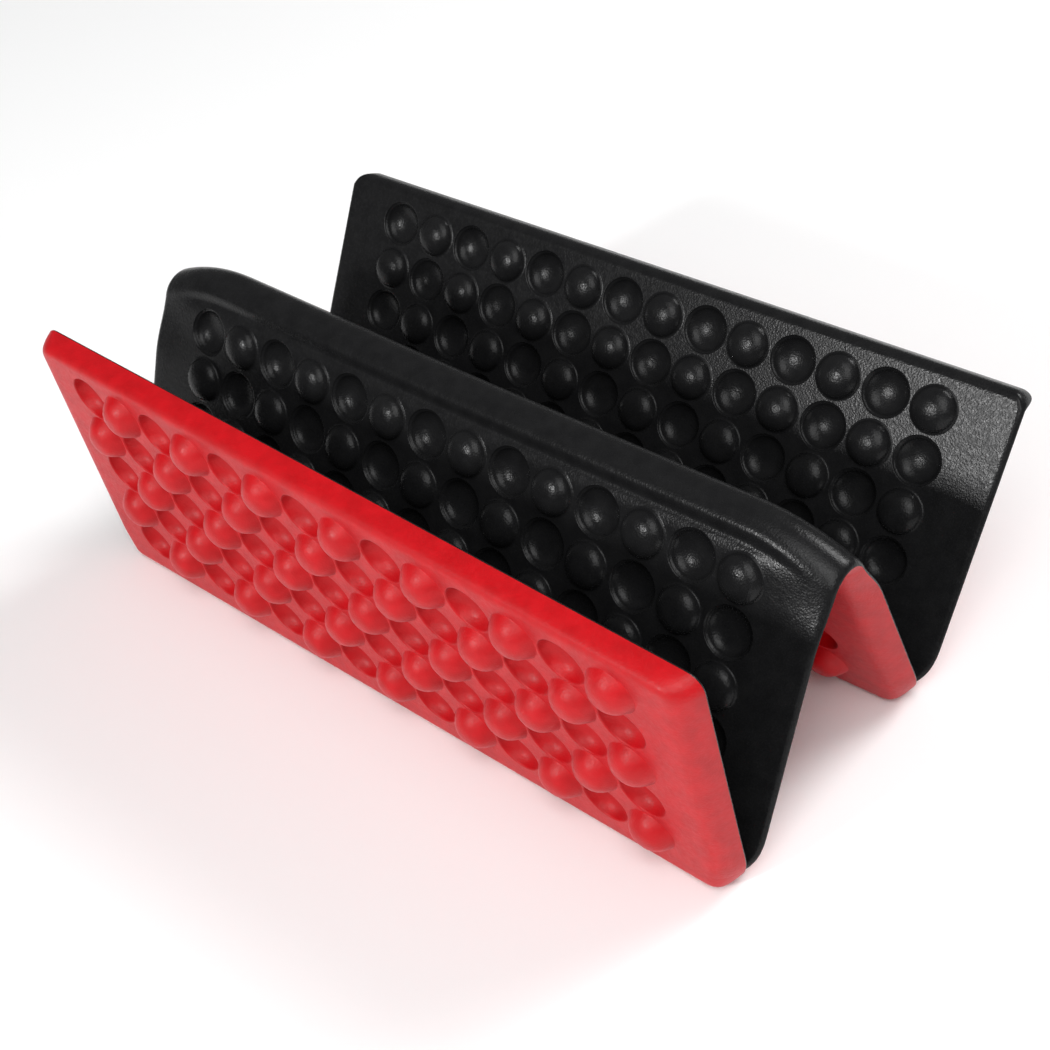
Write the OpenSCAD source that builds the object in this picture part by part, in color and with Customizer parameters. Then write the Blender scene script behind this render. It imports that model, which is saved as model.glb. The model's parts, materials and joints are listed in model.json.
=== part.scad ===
// Folding two-colour foam seat pad, standing open on its two valley folds.
// X runs along the folds, Y from the front panel to the back panel, Z up. Z = 0 is the floor.

/* [Pad] */
// Length of the pad along its folds
pad_length = 280; // [200:5:400]
// Width of an inner panel, from valley crease to ridge
inner_panel = 99.5; // [80:0.5:140]
// How much shorter an outer panel is than an inner one
edge_setback = 0.8; // [0.6:0.1:8]
// Thickness of the black foam layer
black_layer = 3.4; // [2.5:0.1:4]
// Thickness of the red foam layer
red_layer = 5.6; // [5:0.1:7]

/* [Folds] */
// Thickness of foam left under a valley crease
valley_web = 3; // [2.2:0.1:4]
// Distance from a valley crease to where the panels begin
valley_band = 8.5; // [7:0.5:14]
// Radius of the rounded heel on each side of a valley crease
heel_radius = 5; // [4.5:0.1:6]
// Thickness of foam over the top of the ridge
ridge_top = 8; // [7.5:0.1:8.6]
// Distance from the ridge to where the inner panels end
ridge_band = 3; // [2.5:0.1:8]
// Radius inside the ridge, on the red side
ridge_fillet = 1.2; // [0.6:0.1:1.2]

/* [Standing pose] */
// Lean of the front panel from upright
front_lean = 9; // [5:0.5:30]
// Lean of each inner panel from upright
inner_lean = 22.5; // [16:0.5:32]
// Lean of the back panel from upright
back_lean = 29.5; // [5:0.5:40]

/* [Hidden] */

arc_steps = 16;
red_foam = "#c81e24";
black_foam = "#1c1c1e";

sheet = black_layer + red_layer;
outer_panel = inner_panel - edge_setback;
black_web = valley_web * black_layer / sheet;

// Each panel lies against a crease on its black face. The ridge axis is on the red face.
ridge_y = inner_panel * sin(inner_lean) + sheet * cos(inner_lean);
ridge_z = inner_panel * cos(inner_lean) - sheet * sin(inner_lean);
front_reach = outer_panel * sin(front_lean) + sheet * cos(front_lean);
back_reach = outer_panel * sin(back_lean) + sheet * cos(back_lean);

// The front crease, the ridge and the back crease, placed so that the pad is centred over Y = 0.
front_crease = [(front_reach - back_reach) / 2 - ridge_y, valley_web];
ridge = front_crease + [ridge_y, ridge_z];
back_crease = front_crease + [2 * ridge_y, 0];

// Directions of a panel that leans towards +Y: up along it, and out through its red face.
function up(lean) = [sin(lean), cos(lean)];
function out(lean) = [cos(lean), -sin(lean)];
function flip(p) = [-p.x, p.y];

// Turns an outline in Y and Z into a solid along the whole pad.
module along_pad() {
  rotate([90, 0, 90])
    linear_extrude(height = pad_length, center = true)
      children();
}

// One foam layer of a panel: it starts and stops at distances up from the crease.
module layer(crease, lean, depth, thickness, stop, forward = false) {
  along_pad()
    translate(crease)
      mirror([forward ? 1 : 0, 0])
        rotate(-lean)
          translate([depth, valley_band])
            square([thickness, stop - valley_band]);
}

module black_panel(crease, lean, stop, forward = false) {
  color(black_foam) layer(crease, lean, 0, black_layer, stop, forward);
}

module red_panel(crease, lean, stop, forward = false) {
  color(red_foam) layer(crease, lean, black_layer, red_layer, stop, forward);
}

// Points round an arc, from one direction in degrees to another.
function arc(centre, radius, from, to) =
  [for (i = [0:arc_steps]) let (a = from + (to - from) * i / arc_steps)
    centre + radius * [cos(a), sin(a)]];

// An outline in the opposite order, and its mirror image in the opposite order.
function backwards(points) = [for (i = [len(points) - 1:-1:0]) points[i]];
function flip_back(points) = [for (p = backwards(points)) flip(p)];

// Where the boundary between the layers meets the thinned web, beside a valley crease.
function web_corner(lean) =
  up(lean) * (black_layer * sin(lean) - black_web) / cos(lean) + out(lean) * black_layer;

// The end of a panel beside a valley crease, at a depth below the black face.
function valley_end(lean, depth) = up(lean) * valley_band + out(lean) * depth;

// The rounded heel of a panel, from the foot that the pad stands on up to the red face.
function heel_arc(lean) =
  let (inset = sheet - heel_radius)
  let (rise = (heel_radius - valley_web + inset * sin(lean)) / cos(lean))
  arc(up(lean) * rise + out(lean) * inset, heel_radius, -90, -lean);

// The half of each web that belongs to a panel leaning towards +Y, from the bottom upwards.
function black_half(lean) =
  [web_corner(lean), valley_end(lean, black_layer), valley_end(lean, 0)];

function red_half(lean) =
  concat(heel_arc(lean), [valley_end(lean, sheet), valley_end(lean, black_layer), web_corner(lean)]);

// Black foam between two panels at a valley, thinned under the crease.
module valley_black(forward_lean, rear_lean) {
  polygon(concat(black_half(rear_lean), [[0, 0]], flip_back(black_half(forward_lean))));
}

// Red foam between two panels at a valley: a flat foot between two rounded heels.
module valley_red(forward_lean, rear_lean) {
  polygon(concat(red_half(rear_lean), flip_back(red_half(forward_lean))));
}

// The arch over the ridge at a depth below the black face, from one inner panel to the other.
function ridge_arc(depth) =
  let (drop = (sheet - ridge_top) / (1 - sin(inner_lean)))
  arc([0, -drop], sheet + drop * sin(inner_lean) - depth, 180 - inner_lean, inner_lean);

// The end of the second panel below the ridge, at a depth below the black face.
function ridge_end(depth) = -up(inner_lean) * ridge_band - out(inner_lean) * (sheet - depth);

// The rounded inner corner of the ridge, on the red side.
function ridge_corner() =
  arc([0, -ridge_fillet / sin(inner_lean)], ridge_fillet, inner_lean, 180 - inner_lean);

module ridge_black() {
  polygon(concat(
    [ridge_end(black_layer), ridge_end(0)],
    ridge_arc(0),
    [flip(ridge_end(0)), flip(ridge_end(black_layer))],
    backwards(ridge_arc(black_layer))
  ));
}

module ridge_red() {
  polygon(concat(
    [ridge_end(sheet), ridge_end(black_layer)],
    ridge_arc(black_layer),
    [flip(ridge_end(black_layer)), flip(ridge_end(sheet))],
    ridge_corner()
  ));
}

module front_panel_red() { red_panel(front_crease, front_lean, outer_panel, forward = true); }
module front_panel_black() { black_panel(front_crease, front_lean, outer_panel, forward = true); }
module second_panel_red() { red_panel(front_crease, inner_lean, inner_panel - ridge_band); }
module second_panel_black() { black_panel(front_crease, inner_lean, inner_panel - ridge_band); }
module third_panel_red() { red_panel(back_crease, inner_lean, inner_panel - ridge_band, forward = true); }
module third_panel_black() { black_panel(back_crease, inner_lean, inner_panel - ridge_band, forward = true); }
module back_panel_red() { red_panel(back_crease, back_lean, outer_panel); }
module back_panel_black() { black_panel(back_crease, back_lean, outer_panel); }

module front_fold_red() {
  color(red_foam) along_pad() translate(front_crease) valley_red(front_lean, inner_lean);
}

module front_fold_black() {
  color(black_foam) along_pad() translate(front_crease) valley_black(front_lean, inner_lean);
}

module ridge_fold_red() {
  color(red_foam) along_pad() translate(ridge) ridge_red();
}

module ridge_fold_black() {
  color(black_foam) along_pad() translate(ridge) ridge_black();
}

module back_fold_red() {
  color(red_foam) along_pad() translate(back_crease) valley_red(inner_lean, back_lean);
}

module back_fold_black() {
  color(black_foam) along_pad() translate(back_crease) valley_black(inner_lean, back_lean);
}

front_panel_red();
front_panel_black();
front_fold_red();
front_fold_black();
second_panel_red();
second_panel_black();
ridge_fold_red();
ridge_fold_black();
third_panel_red();
third_panel_black();
back_fold_red();
back_fold_black();
back_panel_red();
back_panel_black();
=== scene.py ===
"""Folding two-colour foam seat pad, standing open in a zigzag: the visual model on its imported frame.

X runs along the folds, Y from the front panel to the back panel, Z up. Units are metres. Every panel is
described by x along the fold, v up from its valley crease, and n through the foam from the black face.
"""
import json
import math

import bmesh
import bpy
import numpy as np
from mathutils import Matrix, Vector


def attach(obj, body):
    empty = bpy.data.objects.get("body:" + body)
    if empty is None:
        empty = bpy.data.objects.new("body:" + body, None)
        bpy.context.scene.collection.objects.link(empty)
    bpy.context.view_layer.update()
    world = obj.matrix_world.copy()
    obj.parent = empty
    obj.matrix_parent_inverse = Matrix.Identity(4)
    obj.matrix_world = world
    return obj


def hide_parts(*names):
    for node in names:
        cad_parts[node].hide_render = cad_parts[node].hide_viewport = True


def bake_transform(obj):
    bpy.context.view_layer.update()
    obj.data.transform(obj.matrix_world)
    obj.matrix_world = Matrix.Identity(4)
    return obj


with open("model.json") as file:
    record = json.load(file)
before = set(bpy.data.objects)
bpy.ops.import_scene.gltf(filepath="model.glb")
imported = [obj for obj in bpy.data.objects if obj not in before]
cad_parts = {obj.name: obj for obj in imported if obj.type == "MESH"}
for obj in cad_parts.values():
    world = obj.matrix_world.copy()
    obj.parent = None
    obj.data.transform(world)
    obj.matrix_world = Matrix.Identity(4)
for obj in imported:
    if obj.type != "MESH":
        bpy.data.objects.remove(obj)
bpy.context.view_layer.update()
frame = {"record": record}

MM = 0.001

# ---------------------------------------------------------------- sizes

HALF_LENGTH = 141.5 * MM
INNER = 99.5 * MM  # valley crease to ridge hinge
OUTER = 102 * MM  # valley crease to free edge
BLACK = 3.4 * MM  # thickness of the black layer
SHEET = 9 * MM  # thickness of both layers
WEB = 3 * MM  # foam left under a valley crease
HEEL = 5 * MM  # radius of the heel beside a valley crease
RIDGE_TOP = 9 * MM  # foam over the ridge hinge
RIDGE_FILLET = 1 * MM

PITCH = 17.5 * MM  # spacing of the embossing, both ways
COLUMNS = 14
ROWS = 5
DIVISIONS = 8  # grid steps along one side of a cell
RIM = 8.45 * MM  # radius of a dome or dimple

FOLD_BORDER = 8 * MM  # where a panel piece ends and its valley fold begins
RIDGE_BORDER = 96.9 * MM  # where an inner panel piece ends and the ridge begins
NOTCH = 6 * MM  # how far the ends draw in at a valley crease
NOTCH_REACH = 16 * MM
CORNER = 6 * MM  # radius of a free corner, seen face on
GROOVE = 0.95 * MM  # depth of the pressed groove beside the ridge
GROOVE_MIDDLE = 98.2 * MM  # from the valley crease
GROOVE_WIDTH = 2.2 * MM
GROOVE_END = 6 * MM  # where the groove has faded out, from the ends
GROOVE_FADE = 24 * MM
LIP = 4 * MM  # width of the rounding at a free edge, on the layer that covers it
LIP_BEHIND = 1.2 * MM  # the same, on the layer behind
BEVEL_RED = 9 * MM  # width of the rounding at the ends, on each face
BEVEL_BLACK = 1.8 * MM
BOND_AT_ENDS = 1.2 * MM  # the layers meet nearer the black face there
BOND_TURN = 6 * MM  # how far in from an edge the joint between the layers turns
BOND_AT_LIP = {"front": 0.8 * MM, "back": 8 * MM}  # its depth at the free edges
DROOP = 8 * MM  # how far the ends of the ridge drop
DROOP_START = 108 * MM  # from mid length
DROOP_FOOT = 68 * MM  # height above the floor, below which nothing drops
DROOP_TOP = 98 * MM  # height above the floor, above which the drop is whole
LIFT = 2 * MM  # how far the -X end of the ridge stands higher than the rest
LIFT_START = 10 * MM  # x at which the lift begins

# Leans from upright at mid length, in degrees, and how much they grow per metre towards +X.
LEANS = {"front": 9.0, "second": 22.5, "third": 22.5, "back": 29.5}
TWISTS = {"front": 14.6, "second": 7.7, "third": 7.7, "back": 16.6}
SIDE = {"front": -1, "second": 1, "third": -1, "back": 1}  # +1 leans towards +Y
# The row of the whole pad's checkerboard that is nearest the crease, and the way its rows then count.
ROW_AT_CREASE = {"front": 5, "second": 6, "third": 15, "back": 16}
ROW_STEP = {"front": -1, "second": 1, "third": -1, "back": 1}

joints = {j["name"]: Vector(j["pos_m"]) for j in frame["record"]["behaviour"]["joints"]}

# ---------------------------------------------------------------- camera


CAMERA_ANGLES = (44.94, 39.63, -6.77)  # azimuth, elevation and roll, in degrees
CAMERA_PLACE = (0.3366, -0.3353, 0.4231)
FIELD_OF_VIEW = 33.07  # degrees


def make_camera():
    """The reference view: from the front right and above, rolled a little clockwise."""
    azimuth, elevation, roll = (math.radians(a) for a in CAMERA_ANGLES)
    back = Vector(
        (
            math.sin(azimuth) * math.cos(elevation),
            -math.cos(azimuth) * math.cos(elevation),
            math.sin(elevation),
        )
    )
    right = Vector((0, 0, 1)).cross(back).normalized()
    up = back.cross(right)
    turned_right = math.cos(roll) * right + math.sin(roll) * up
    turned_up = math.cos(roll) * up - math.sin(roll) * right
    data = bpy.data.cameras.new("camera")
    data.sensor_fit = "HORIZONTAL"
    data.angle = math.radians(FIELD_OF_VIEW)
    camera = bpy.data.objects.new("camera", data)
    bpy.context.scene.collection.objects.link(camera)
    matrix = Matrix((turned_right, turned_up, back)).transposed().to_4x4()
    matrix.translation = Vector(CAMERA_PLACE)
    camera.matrix_world = matrix
    bpy.context.scene.camera = camera


# ---------------------------------------------------------------- where the foam is


def lean(panel, x):
    return np.radians(LEANS[panel] + TWISTS[panel] * x)


def up(panel, x):
    """(y, z) of the direction up along a panel from its crease."""
    a = lean(panel, x)
    return SIDE[panel] * np.sin(a), np.cos(a)


def out(panel, x):
    """(y, z) of the direction through a panel from the black face to the red one."""
    a = lean(panel, x)
    return SIDE[panel] * np.cos(a), -np.sin(a)


def ridge_line(x):
    """(y, z) of the ridge hinge at x."""
    u, o = up("second", x), out("second", x)
    y = joints["front_fold"].y + INNER * u[0] + SHEET * o[0]
    z = joints["front_fold"].z + INNER * u[1] + SHEET * o[1]
    return y, z


def crease(panel, x):
    """(y, z) of the valley crease that a panel stands on, at x."""
    front = joints["front_fold"]
    if panel in ("front", "second"):
        return front.y + 0 * x, front.z + 0 * x
    return 2 * ridge_line(x)[0] - front.y, front.z + 0 * x


def place(panel, x, v, n):
    """Points of a panel as an array of rows x, y, z."""
    x, v, n = np.broadcast_arrays(*(np.asarray(a, float) for a in (x, v, n)))
    c, u, o = crease(panel, x), up(panel, x), out(panel, x)
    points = np.stack([x, c[0] + v * u[0] + n * o[0], c[1] + v * u[1] + n * o[1]], axis=-1)
    return droop(points) if panel in ("second", "third") else points


def droop(points):
    """Lets the ends of the ridge down, with the panel corners under it, and lifts its -X half a little."""
    points = np.array(points, float)
    x, z = np.abs(points[..., 0]), points[..., 2]
    along = np.clip((x - DROOP_START) / (HALF_LENGTH - DROOP_START), 0, 1) ** 2
    lift = LIFT * smooth((LIFT_START - points[..., 0]) / HALF_LENGTH) * z / DROOP_TOP
    points[..., 2] += lift - DROOP * along * smooth((z - DROOP_FOOT) / (DROOP_TOP - DROOP_FOOT))
    return points


def end_notch(v):
    """How far the ends of the pad draw in, at a distance v from a valley crease."""
    return NOTCH * np.clip(1 - np.asarray(v, float) / NOTCH_REACH, 0, 1) ** 3


def smooth(t):
    t = np.clip(t, 0, 1)
    return t * t * (3 - 2 * t)


# ---------------------------------------------------------------- embossing


def hash01(*keys):
    """A fixed number from 0 to 1 for some whole numbers."""
    value = math.sin(sum(k * w for k, w in zip(keys, (12.9898, 78.233, 37.719)))) * 43758.5453
    return value - math.floor(value)


LEDGE = 0.9  # inner radius of the ring round a black dome or dimple, as a share of its radius
LEDGE_DEPTH = 0.8 * MM


def knob(t, power, fullness):
    """Height of a dome at t of its radius, from 1 at the middle to 0 at the rim."""
    return (1 - min(t, 1) ** power) ** fullness


def red_dome(t):
    return 5.6 * MM * knob(t, 3.2, 1.1)


def red_dimple(t):
    return -5.2 * MM * knob(t, 4, 0.75)


def black_dome(t):
    """A dome on a foot that is barely higher than the face."""
    foot = 0.25 * MM * (1 - smooth((t - 0.88) / 0.12))
    return -(foot + 3.9 * MM * knob(t / LEDGE, 2.5, 0.6))


def black_dimple(t):
    """A bowl inside a shallow ring-shaped ledge."""
    ledge = LEDGE_DEPTH * (knob((t - LEDGE) / (1 - LEDGE), 2, 0.5) if t > LEDGE else 1)
    return ledge + 3.5 * MM * knob(t / LEDGE, 2.4, 0.6)


def bond_shift(t):
    """How far the joint between the layers follows a dome, at t of its radius."""
    return 3.5 * MM * (1 - t * t)


# Radii of the rings of a cell, as shares of RIM. The first lies just outside it, in the flat.
FACE_RINGS = (1.025, 1, 0.985, 0.96, 0.925, 0.895, 0.87, 0.82, 0.74, 0.63, 0.5, 0.34, 0.17)
BOND_RINGS = (1, 0.75, 0.4)

# ---------------------------------------------------------------- grid lines of a panel

ARC_STEPS = 10  # over the rounding at an edge
HALF_STEPS = 26  # points from a fold's border to its middle, both counted


def arc_distances(width):
    """Distances in from an edge, close together at the edge as on a quarter circle."""
    return [width * (1 - math.cos(math.pi / 2 * k / ARC_STEPS)) for k in range(ARC_STEPS + 1)]


def cell_lines(cells, centre_of_first):
    """Grid lines across a run of cells. They lie where equal angles from each centre meet its sides."""
    lines = []
    for cell in range(cells):
        centre = centre_of_first + cell * PITCH
        for k in range(DIVISIONS):
            angle = math.radians(-45 + 90 * k / DIVISIONS)
            lines.append(centre + PITCH / 2 * math.tan(angle))
    return lines + [centre_of_first + (cells - 0.5) * PITCH]


PATTERN_X = cell_lines(COLUMNS, -(COLUMNS - 1) / 2 * PITCH)
PATTERN_V = cell_lines(ROWS, PITCH)
MARGIN_SHARES = (0.12, 0.3, 0.5, 0.7, 0.88)


def x_lines(half_length):
    """x of every grid line, from -X to +X, where the pad's half length is half_length."""
    edge = [half_length - d for d in arc_distances(BEVEL_RED)]
    inner, outer = PATTERN_X[-1], edge[-1]
    margin = [inner + (outer - inner) * s for s in MARGIN_SHARES]
    right = np.array(margin + edge[::-1])
    return np.concatenate([-right[::-1], PATTERN_X, right])


FIRST_X = len(MARGIN_SHARES) + ARC_STEPS + 1  # index of the first line of the pattern


def v_lines(panel):
    """v of every grid line, up from the fold."""
    lines = [FOLD_BORDER, *PATTERN_V]
    if panel in ("second", "third"):
        return np.array([*lines, RIDGE_BORDER])
    edge = [OUTER - d for d in arc_distances(LIP)]
    return np.array([*lines, (PATTERN_V[-1] + edge[-1]) / 2, *edge[::-1]])


FIRST_V = 1  # index of the pattern's first line upwards


def half_length_at(panel, v):
    half = HALF_LENGTH - end_notch(v)
    if panel in ("second", "third"):
        return half
    reach = np.clip(CORNER - (OUTER - v), 0, CORNER)
    return half - (CORNER - np.sqrt(CORNER**2 - reach**2))


# ---------------------------------------------------------------- thickness of the layers


def groove(x, v):
    """Depth of the pressed groove in the black face along each side of the ridge. It fades at the ends."""
    fade = smooth((HALF_LENGTH - GROOVE_END - np.abs(x)) / GROOVE_FADE)
    return GROOVE * fade * np.exp(-(((v - GROOVE_MIDDLE) / GROOVE_WIDTH) ** 2))


def end_profile(layer, distance):
    """Share of a layer's thickness that is left at a distance in from the ends."""
    if layer == "red":
        return 1 - (1 - np.clip(distance / BEVEL_RED, 0, 1)) ** 2.4
    return np.sqrt(1 - (1 - np.clip(distance / BEVEL_BLACK, 0, 1)) ** 2)


def lip_profile(panel, layer, v):
    """Share of a layer's thickness that is left near the free edge of an outer panel."""
    if panel in ("second", "third"):
        return np.ones_like(v)
    covering = layer == ("red" if panel == "front" else "black")
    if covering:
        return (1 - (1 - np.clip((OUTER - v) / LIP, 0, 1)) ** 2.5) ** 0.29
    return np.sqrt(1 - (1 - np.clip((OUTER - v) / LIP_BEHIND, 0, 1)) ** 2)


def bond_away_from_edges(distance):
    """Depth of the joint between the layers at a distance in from the ends."""
    return BOND_AT_ENDS + (BLACK - BOND_AT_ENDS) * smooth(distance / BOND_TURN)


def bond_depth(panel, v, distance):
    """Depth of the joint between the layers. At a free edge one layer covers nearly the whole edge."""
    depth = bond_away_from_edges(distance)
    if panel in ("second", "third"):
        return depth
    return depth + (BOND_AT_LIP[panel] - depth) * smooth((v - (OUTER - BOND_TURN)) / (5 * MM))


# ---------------------------------------------------------------- meshes


class Solid:
    """Vertices and faces of one closed piece, in numbered skins that meet at sharp edges."""

    def __init__(self):
        self.points = []
        self.faces = []
        self.skins = []

    def add(self, points):
        first = len(self.points)
        self.points.extend(np.asarray(points, float).reshape(-1, 3))
        return first

    def face(self, skin, *corners):
        self.faces.append(corners)
        self.skins.append(skin)

    def make(self, name, material):
        mesh = bpy.data.meshes.new(name)
        mesh.from_pydata([tuple(p) for p in self.points], [], self.faces)
        mesh.validate()
        mesh.polygons.foreach_set("use_smooth", np.ones(len(mesh.polygons), bool))
        mark_sharp(mesh, np.array(self.skins))
        face_outwards(mesh)
        mesh.materials.append(material)
        piece = bpy.data.objects.new(name, mesh)
        bpy.context.scene.collection.objects.link(piece)
        return piece


def mark_sharp(mesh, skins):
    """Sharp edges where two skins meet, so that each is shaded by its own shape."""
    totals = np.zeros(len(mesh.polygons), int)
    mesh.polygons.foreach_get("loop_total", totals)
    loop_skin = np.repeat(skins, totals)
    loop_edge = np.zeros(len(mesh.loops), int)
    mesh.loops.foreach_get("edge_index", loop_edge)
    low = np.full(len(mesh.edges), skins.max() + 1)
    high = np.full(len(mesh.edges), -1)
    np.minimum.at(low, loop_edge, loop_skin)
    np.maximum.at(high, loop_edge, loop_skin)
    mesh.edges.foreach_set("use_edge_sharp", low != high)


def face_outwards(mesh):
    """Turns every face of a closed mesh outwards."""
    work = bmesh.new()
    work.from_mesh(mesh)
    bmesh.ops.recalc_face_normals(work, faces=work.faces[:])
    work.to_mesh(mesh)
    work.free()


def stitch_rows(solid, skin, row_a, row_b):
    """Faces between two rows of vertices. Where the rows share vertices they narrow or vanish."""
    for k in range(len(row_a) - 1):
        corners = [row_a[k], row_a[k + 1], row_b[k + 1], row_b[k]]
        unique = [c for i, c in enumerate(corners) if c != corners[i - 1]]
        if len(unique) > 2:
            solid.face(skin, *unique)


# ---------------------------------------------------------------- panels


def is_red_dome(panel, column, row):
    """Whether a cell bulges to the red side; the others bulge to the black. Row 0 is nearest the crease."""
    pad_row = ROW_AT_CREASE[panel] + ROW_STEP[panel] * row
    return (column + 1 + pad_row) % 2 == 1


def cell_ring(index, column, row):
    """Grid vertices round a cell, in order."""
    i, j, d = FIRST_X + column * DIVISIONS, FIRST_V + row * DIVISIONS, DIVISIONS
    bottom = [index[j][i + k] for k in range(d)]
    right = [index[j + k][i + d] for k in range(d)]
    top = [index[j + d][i + d - k] for k in range(d)]
    left = [index[j + d - k][i] for k in range(d)]
    return bottom + right + top + left


def add_cell(solid, skin, panel, index, column, row, face_n, rings, shape):
    """One dome or dimple: rings of faces from the cell's square outline in to its middle."""
    centre_x, centre_v = (column - (COLUMNS - 1) / 2) * PITCH, (row + 1) * PITCH
    outline = cell_ring(index, column, row)
    count = len(outline)
    angles = math.radians(-135) + 2 * math.pi * np.arange(count) / count
    size = 0.95 + 0.05 * hash01(column, row, ord(panel[0]))
    previous = outline + outline[:1]
    for t in rings:
        x = centre_x + RIM * t * np.cos(angles)
        v = centre_v + RIM * t * np.sin(angles)
        first = solid.add(place(panel, x, v, face_n(x, v) + size * shape(t)))
        ring = [first + k for k in range(count)] + [first]
        stitch_rows(solid, skin, previous, ring)
        previous = ring
    middle = solid.add(place(panel, centre_x, centre_v, face_n(centre_x, centre_v) + size * shape(0)))
    for k in range(count):
        solid.face(skin, previous[k], previous[k + 1], middle)


def add_panel_skin(solid, skin, panel, layer, kind, border):
    """One face of a layer. border gives vertices that the other face has already made."""
    vs = v_lines(panel)
    outer_n = face_depth(panel, layer)
    face_n = outer_n if kind == "face" else (lambda x, v: BLACK + 0 * x)
    index = []
    for j, v in enumerate(vs):
        half = half_length_at(panel, v)
        xs = x_lines(half)
        bond = bond_depth(panel, v, half - np.abs(xs))
        thickness = outer_n(xs, v) - bond
        share = end_profile(layer, half - np.abs(xs)) * lip_profile(panel, layer, v)
        n = bond + (thickness * share if kind == "face" else 0 * xs)
        first = solid.add(place(panel, xs, v, n))
        index.append([border.get((j, i), first + i) for i in range(len(xs))])
    last_i, last_j = FIRST_X + COLUMNS * DIVISIONS, FIRST_V + ROWS * DIVISIONS
    for j in range(len(vs) - 1):
        in_rows = FIRST_V <= j < last_j
        runs = [(0, FIRST_X), (last_i, len(index[0]) - 1)] if in_rows else [(0, len(index[0]) - 1)]
        for start, stop in runs:
            stitch_rows(solid, skin, index[j][start : stop + 1], index[j + 1][start : stop + 1])
    for row in range(ROWS):
        for column in range(COLUMNS):
            to_red = is_red_dome(panel, column, row)
            shape = cell_shape(layer, kind, to_red)
            rings = FACE_RINGS if kind == "face" else BOND_RINGS
            add_cell(solid, skin, panel, index, column, row, face_n, rings, shape)
    return index


def face_depth(panel, layer):
    """The depth of a layer's outer face, as a function of x and v."""
    if layer == "red":
        return lambda x, v: SHEET + 0 * x
    if panel in ("second", "third"):
        return groove
    return lambda x, v: 0 * x


def cell_shape(layer, kind, to_red):
    """How far a face moves towards the red side, as a function of t."""
    if kind == "bond":
        return bond_shift if to_red else (lambda t: -bond_shift(t))
    if layer == "red":
        return red_dome if to_red else red_dimple
    return black_dimple if to_red else black_dome


def make_panel_layer(panel, layer, material):
    """A layer of one panel as a closed solid: its face, the bond behind it, and caps at the folds."""
    solid = Solid()
    index = add_panel_skin(solid, 0, panel, layer, "face", {})
    border = {}
    free_edge = panel in ("front", "back")
    for j, row in enumerate(index):
        border[(j, 0)] = row[0]
        border[(j, len(row) - 1)] = row[-1]
    if free_edge:
        border.update({(len(index) - 1, i): vertex for i, vertex in enumerate(index[-1])})
    behind = add_panel_skin(solid, 1, panel, layer, "bond", border)
    stitch_rows(solid, 2, index[0], behind[0])
    if not free_edge:
        stitch_rows(solid, 3, index[-1], behind[-1])
    remove_loose(solid)
    return solid.make(f"{panel}_panel_{layer}_foam", material)


def remove_loose(solid):
    """Drops vertices that no face uses."""
    used = sorted({corner for face in solid.faces for corner in face})
    new = {old: k for k, old in enumerate(used)}
    solid.points = [solid.points[k] for k in used]
    solid.faces = [tuple(new[c] for c in face) for face in solid.faces]


# ---------------------------------------------------------------- folds


def resample(points, count):
    """count points at equal steps along a line of (y, z) points."""
    points = np.array(points, float)
    steps = np.hypot(*np.diff(points, axis=0).T)
    along = np.concatenate([[0], np.cumsum(steps)])
    wanted = np.linspace(0, along[-1], count)
    return np.stack([np.interp(wanted, along, points[:, k]) for k in (0, 1)], axis=-1)


def at(panel, x, v, n):
    """(y, z) of a point of a panel, measured from its crease."""
    u, o = up(panel, x), out(panel, x)
    return np.array([v * u[0] + n * o[0], v * u[1] + n * o[1]])


def arc(centre, radius, start, stop, steps=12):
    angles = np.linspace(start, stop, steps)
    return [np.array(centre) + radius * np.array([math.cos(a), math.sin(a)]) for a in angles]


def heel(panel, x):
    """(y, z) points of the rounded heel, from the red face down to the foot."""
    a = lean(panel, x)
    inset = SHEET - HEEL
    rise = (HEEL - WEB + inset * math.sin(a)) / math.cos(a)
    points = arc([0, 0], HEEL, -a, -math.pi / 2)
    centre = at(panel, x, rise, inset)
    return [centre + np.array([SIDE[panel] * p[0], p[1]]) for p in points]


def web_corner(panel, x):
    """Where the joint between the layers turns from the panel into the thinned web."""
    a = lean(panel, x)
    below = WEB * BLACK / SHEET
    return at(panel, x, (BLACK * math.sin(a) - below) / math.cos(a), BLACK)


def valley_half(panel, x, line):
    """(y, z) points from a panel's border down to the middle of its valley fold."""
    if line == "red":
        points = [at(panel, x, FOLD_BORDER, SHEET), *heel(panel, x), [0, -WEB]]
    elif line == "bond":
        points = [at(panel, x, FOLD_BORDER, BLACK), web_corner(panel, x), [0, -WEB * BLACK / SHEET]]
    else:
        points = [at(panel, x, FOLD_BORDER, 0), at(panel, x, 1 * MM, 0), [0, 0.35 * MM]]
    return resample(points, HALF_STEPS)


def valley_section(panels, x, line):
    """A line across a valley fold, from the border of one panel to the border of the other."""
    first, second = (valley_half(panel, x, line) for panel in panels)
    section = np.concatenate([first, second[-2::-1]])
    y, z = crease(panels[0], x)
    return section + np.array([float(y), float(z)])


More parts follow.
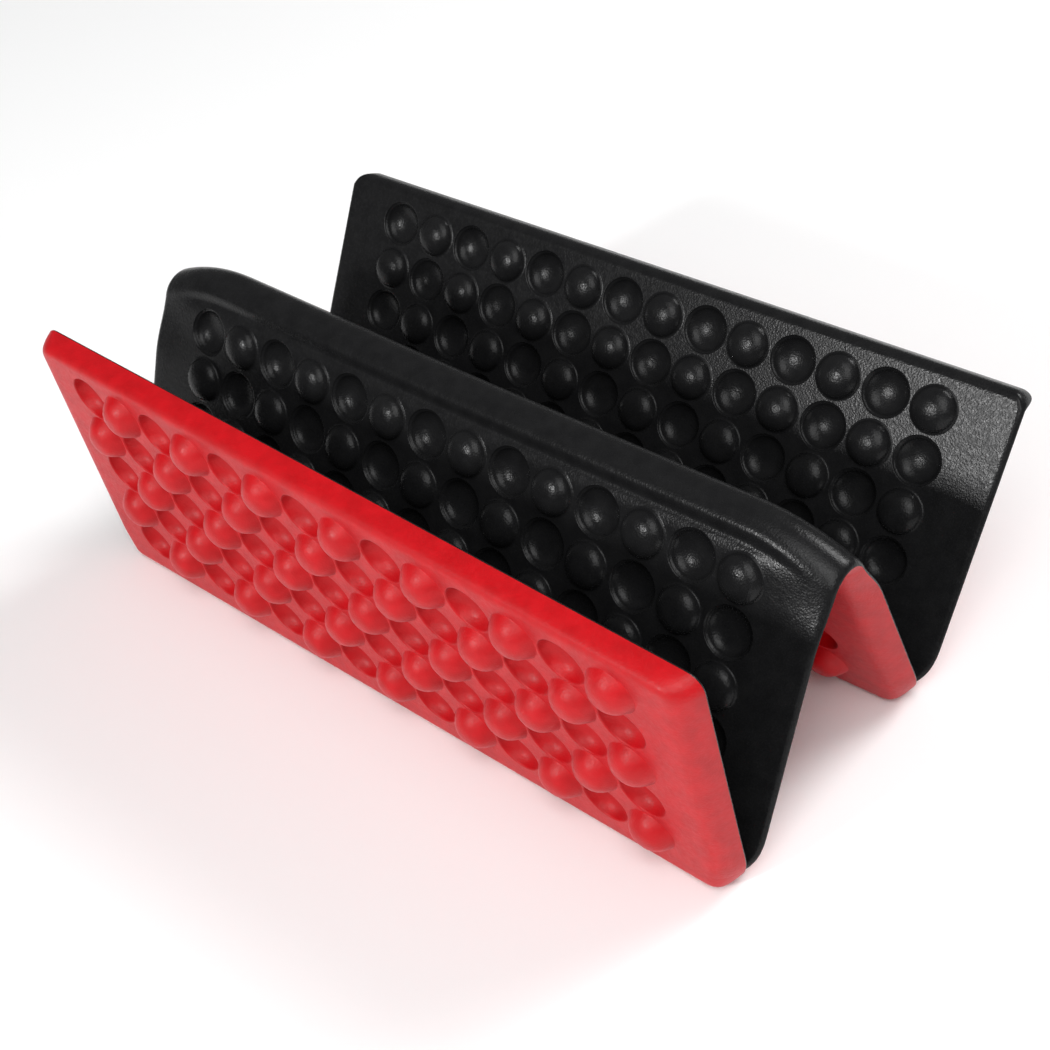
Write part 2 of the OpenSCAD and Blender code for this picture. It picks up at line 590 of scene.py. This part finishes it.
def ridge_section(panels, x, line):
    """A line over the ridge, from one panel to the other. It is the same on both sides."""
    a = lean(panels[0], x)
    border = RIDGE_BORDER - INNER
    if line == "black":
        half = ridge_arch(a, 0)
    elif line == "bond":
        half = ridge_arch(a, BLACK)
    else:
        apex = [0, -RIDGE_FILLET / math.sin(a)]
        half = arc(apex, RIDGE_FILLET, math.pi - a, math.pi / 2, 8)
    depth = {"black": 0, "bond": BLACK, "red": SHEET}[line]
    end = at(panels[0], x, border, depth - SHEET)
    half = resample([end, *half], HALF_STEPS)
    if line == "black":
        half = press_groove(half, x)
    other = half[-2::-1] * np.array([-1, 1])
    y, z = ridge_line(x)
    return np.concatenate([half, other]) + np.array([float(y), float(z)])


def ridge_arch(a, depth):
    """(y, z) points over half the ridge, at a depth under its black face, for panels that lean by a."""
    drop = (SHEET - RIDGE_TOP) / (1 - math.sin(a))
    radius = SHEET + drop * math.sin(a) - depth
    return arc([0, -drop], radius, math.pi - a, math.pi / 2, 24)


def press_groove(half, x):
    """Carries the pressed groove on from the panel, along a line that starts at its border."""
    steps = np.hypot(*np.diff(half, axis=0).T)
    along = np.concatenate([[0], np.cumsum(steps)])
    direction = np.gradient(half, axis=0)
    inwards = np.column_stack([direction[:, 1], -direction[:, 0]]) / np.hypot(*direction.T)[:, None]
    return half + inwards * groove(x, RIDGE_BORDER + along)[:, None]


def make_fold_layer(name, section, panels, layer, notched, material):
    """A layer of a fold as a closed solid, swept along X between two panels."""
    solid = Solid()
    count = 2 * HALF_STEPS - 1
    from_middle = np.abs(np.linspace(-1, 1, count)) * FOLD_BORDER
    halves = HALF_LENGTH - (end_notch(from_middle) if notched else 0 * from_middle)
    xs = np.array([x_lines(half) for half in halves])
    columns = x_lines(HALF_LENGTH)
    face, bond = [], []
    for i, x in enumerate(columns):
        outer = section(panels, x, layer)
        inner = section(panels, x, "bond")
        distance = HALF_LENGTH - abs(x)
        share = float(end_profile(layer, distance))
        towards_black = 1 - bond_away_from_edges(distance) / BLACK
        inner = inner + towards_black * (section(panels, x, "black") - inner)
        body = inner + share * (outer - inner)
        body, inner = np.column_stack([xs[:, i], body]), np.column_stack([xs[:, i], inner])
        if not notched:
            body, inner = droop(body), droop(inner)
        first = solid.add(body)
        face.append([first + k for k in range(count)])
        if i in (0, len(columns) - 1):
            bond.append(face[-1])
            continue
        first = solid.add(inner)
        bond.append([first + k for k in range(count)])
    for i in range(len(columns) - 1):
        stitch_rows(solid, 0, face[i], face[i + 1])
        stitch_rows(solid, 1, bond[i], bond[i + 1])
    for skin, k in ((2, 0), (3, count - 1)):
        stitch_rows(solid, skin, [row[k] for row in face], [row[k] for row in bond])
    remove_loose(solid)
    return solid.make(name, material)


# ---------------------------------------------------------------- materials


def foam_material(name, colour, dark, rough, sheen, gloss):
    """Closed-cell foam: a fine skin of cells, soft mottling, and a satin sheen."""
    material = bpy.data.materials.new(name)
    material.use_nodes = True
    nodes, links = material.node_tree.nodes, material.node_tree.links
    shader = nodes["Principled BSDF"]
    place_in = nodes.new("ShaderNodeTexCoord").outputs["Object"]

    def noise(scale, detail, roughness=0.5):
        node = nodes.new("ShaderNodeTexNoise")
        node.inputs["Scale"].default_value = scale
        node.inputs["Detail"].default_value = detail
        node.inputs["Roughness"].default_value = roughness
        links.new(place_in, node.inputs["Vector"])
        return node.outputs["Fac"]

    def ramp(value, low, high, low_value, high_value):
        node = nodes.new("ShaderNodeMapRange")
        node.inputs["From Min"].default_value = low
        node.inputs["From Max"].default_value = high
        node.inputs["To Min"].default_value = low_value
        node.inputs["To Max"].default_value = high_value
        links.new(value, node.inputs["Value"])
        return node.outputs["Result"]

    cells = nodes.new("ShaderNodeTexVoronoi")
    cells.inputs["Scale"].default_value = 1500
    links.new(place_in, cells.inputs["Vector"])
    mottle = ramp(noise(180, 4), 0.35, 0.65, 0, 1)
    mix = nodes.new("ShaderNodeMix")
    mix.data_type = "RGBA"
    mix.inputs["A"].default_value = (*dark, 1)
    mix.inputs["B"].default_value = (*colour, 1)
    links.new(mottle, mix.inputs["Factor"])
    links.new(mix.outputs["Result"], shader.inputs["Base Color"])
    links.new(ramp(noise(700, 3), 0.3, 0.7, rough - 0.06, rough + 0.06), shader.inputs["Roughness"])

    fine = nodes.new("ShaderNodeBump")
    fine.inputs["Strength"].default_value = 0.35
    fine.inputs["Distance"].default_value = 0.00012
    links.new(cells.outputs["Distance"], fine.inputs["Height"])
    broad = nodes.new("ShaderNodeBump")
    broad.inputs["Strength"].default_value = 0.3
    broad.inputs["Distance"].default_value = 0.0002
    links.new(noise(420, 6, 0.65), broad.inputs["Height"])
    links.new(fine.outputs["Normal"], broad.inputs["Normal"])
    links.new(broad.outputs["Normal"], shader.inputs["Normal"])

    shader.inputs["Sheen Weight"].default_value = sheen
    shader.inputs["Sheen Roughness"].default_value = 0.35
    shader.inputs["Sheen Tint"].default_value = (1.0, 0.85, 0.95, 1)
    shader.inputs["Specular IOR Level"].default_value = gloss
    return material


# ---------------------------------------------------------------- the pad


def blend_across(piece, body_a, body_b, line, before, after):
    """Bakes a piece's placement into its mesh. It works out the ends and middle of the fold line but bends
    nothing; body_a, body_b, before and after are not used.
    """
    ends = [np.array([x, float(line(x)[0])]) for x in (-HALF_LENGTH, HALF_LENGTH)]
    middle = Vector((0, float(line(0.0)[0]), 0))
    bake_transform(piece)


# line is where a fold's hinge or crease runs, and strip is where it bends, in metres from that line.
FOLDS = {
    "front_fold": {
        "panels": ("second", "front"),
        "section": valley_section,
        "line": lambda x: crease("front", x),
        "strip": (2.9 * MM, -0.9 * MM),
    },
    "ridge_fold": {
        "panels": ("second", "third"),
        "section": ridge_section,
        "line": ridge_line,
        "strip": (-0.95 * MM, 0.95 * MM),
    },
    "back_fold": {
        "panels": ("third", "back"),
        "section": valley_section,
        "line": lambda x: crease("back", x),
        "strip": (-2.9 * MM, 3.6 * MM),
    },
}


def finish_piece(node):
    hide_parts(node)


def make_pad():
    materials = {
        "red": foam_material("red_foam", (0.5, 0.002, 0.006), (0.42, 0.001, 0.004), 0.46, 0.1, 0.32),
        "black": foam_material("black_foam", (0.012, 0.012, 0.0125), (0.009, 0.009, 0.0095), 0.26, 0, 0.15),
    }
    for layer, material in materials.items():
        for panel in LEANS:
            piece = make_panel_layer(panel, layer, material)
            finish_piece(f"{panel}_panel_{layer}")
            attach(piece, f"{panel}_panel")
        for fold, parts in FOLDS.items():
            valley = parts["section"] is valley_section
            piece = make_fold_layer(
                f"{fold}_{layer}_foam", parts["section"], parts["panels"], layer, valley, material
            )
            finish_piece(f"{fold}_{layer}")
            body_a, body_b = (f"{panel}_panel" for panel in parts["panels"])
            blend_across(piece, body_a, body_b, parts["line"], *parts["strip"])


# ---------------------------------------------------------------- stage


def make_floor():
    mesh = bpy.data.meshes.new("floor")
    half = 12
    corners = [(-half, -half, 0), (half, -half, 0), (half, half, 0), (-half, half, 0)]
    mesh.from_pydata(corners, [], [(0, 1, 2, 3)])
    material = bpy.data.materials.new("floor")
    material.use_nodes = True
    shader = material.node_tree.nodes["Principled BSDF"]
    shader.inputs["Base Color"].default_value = (0.96, 0.96, 0.96, 1)
    shader.inputs["Roughness"].default_value = 0.9
    shader.inputs["Specular IOR Level"].default_value = 0.1
    mesh.materials.append(material)
    floor = bpy.data.objects.new("floor", mesh)
    bpy.context.scene.collection.objects.link(floor)


def make_light(name, position, target, size, power):
    data = bpy.data.lights.new(name, "AREA")
    data.shape = "RECTANGLE"
    data.size, data.size_y = size
    data.energy = power
    light = bpy.data.objects.new(name, data)
    bpy.context.scene.collection.objects.link(light)
    light.location = position
    light.rotation_euler = (Vector(target) - Vector(position)).to_track_quat("-Z", "Y").to_euler()


def make_lights():
    """A compact key, softer lights near the +X end and above, one for the floor behind, and a faint world."""
    make_light("key", (-0.36, -1.9, 1.0), (0, 0, 0.05), (0.24, 0.24), 23)
    make_light("near", (0.52, -0.62, 0.9), (0.12, 0, 0.05), (0.7, 0.7), 6)
    make_light("top", (0.45, -0.45, 1.7), (0, 0, 0.05), (1.1, 0.9), 7)
    make_light("back", (0.7, 1.9, 1.9), (-0.3, 1.6, 0), (1.2, 1.2), 60)
    world = bpy.data.worlds.new("studio")
    world.use_nodes = True
    world.node_tree.nodes["Background"].inputs["Color"].default_value = (1, 1, 1, 1)
    world.node_tree.nodes["Background"].inputs["Strength"].default_value = 0.12
    bpy.context.scene.world = world


make_camera()
make_pad()
make_floor()
make_lights()
bpy.context.scene.view_settings.view_transform = "Standard"
